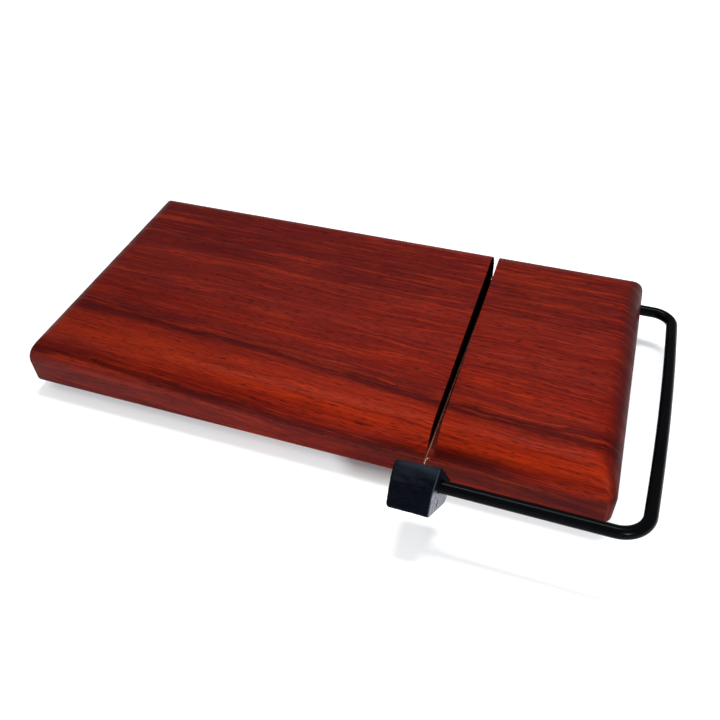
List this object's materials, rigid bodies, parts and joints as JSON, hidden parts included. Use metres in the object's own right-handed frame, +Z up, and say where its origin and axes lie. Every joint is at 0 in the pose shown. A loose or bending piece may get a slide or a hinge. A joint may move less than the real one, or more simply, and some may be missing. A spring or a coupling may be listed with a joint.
{
  "type": "cheese wire cutter",
  "caption": "Rectangular hardwood board with a saw kerf, and a bent rod handle on its rear edge that swings a cutting wire down into the kerf.",
  "frame": {"origin": "middle of the bounding box's underside, on the surface that the feet stand on", "axes": "+X along the board towards the handle's side leg, +Y from the grip's edge towards the rear hinge edge, +Z up"},
  "size_m": [0.2662, 0.1528, 0.0365],
  "materials": {
    "board_wood": "oiled satin, deep red-brown with darker streaks along the length",
    "rod_black": "semi-gloss black coating",
    "grip_black": "matte black stain, worn grey on the end grain",
    "wire_steel": "bright drawn wire",
    "foot_rubber": "matte moulded rubber"
  },
  "bodies": {
    "board": {"board": "board_wood", "foot_front_left": "foot_rubber", "foot_front_right": "foot_rubber", "foot_rear_left": "foot_rubber", "foot_rear_right": "foot_rubber"},
    "handle": {"handle_rod": "rod_black", "grip": "grip_black", "cutting_wire": "wire_steel"}
  },
  "joints": [
    {"name": "handle_swing", "type": "hinge", "parent": "board", "child": "handle", "pos_m": [0.04849, 0.06443, 0.0156], "axis": [-1, 0, 0], "range_deg": [-2.4, 176]}
  ]
}
